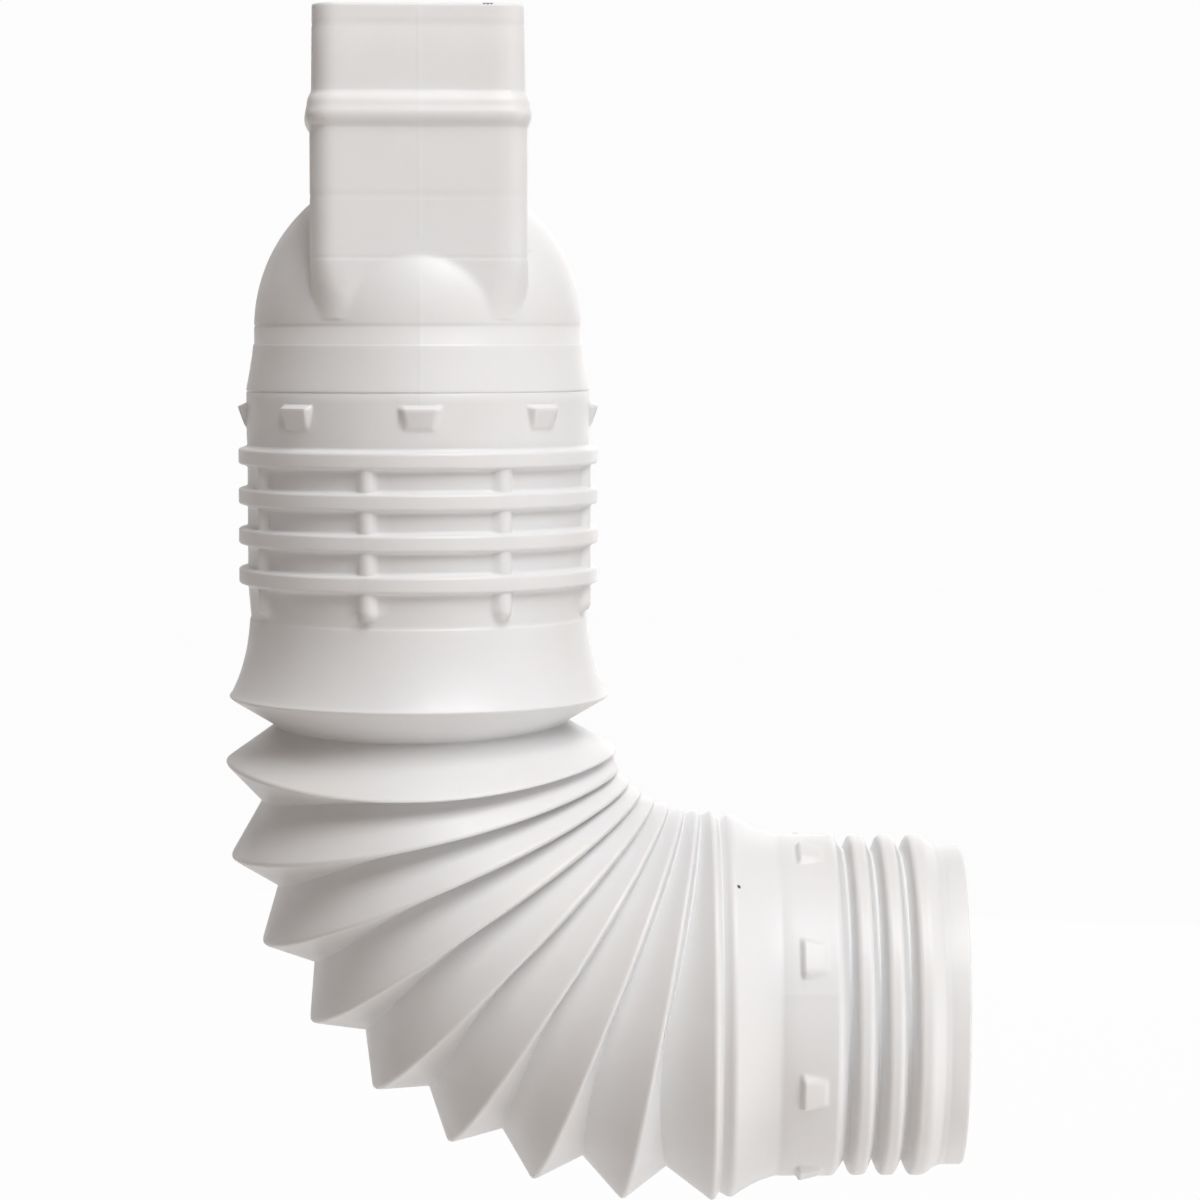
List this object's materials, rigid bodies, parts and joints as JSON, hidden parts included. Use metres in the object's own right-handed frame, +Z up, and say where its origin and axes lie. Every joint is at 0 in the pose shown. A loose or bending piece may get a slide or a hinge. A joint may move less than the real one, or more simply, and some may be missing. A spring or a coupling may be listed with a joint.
{
  "type": "flexible downspout elbow",
  "caption": "White blow-moulded downspout extension elbow: rectangular socket, ribbed round barrel and a bent bellows that ends in a snap-in drain spigot.",
  "frame": {"origin": "centre of the socket's mouth, level with its rim", "axes": "+Z up along the socket's axis, +X along the outlet's axis the way the water leaves, +Y to complete the frame"},
  "size_m": [0.2196, 0.118, 0.3517],
  "materials": {
    "white_polyethylene": "satin"
  },
  "bodies": {
    "root": {"downspout_elbow": "white_polyethylene"}
  },
  "joints": []
}
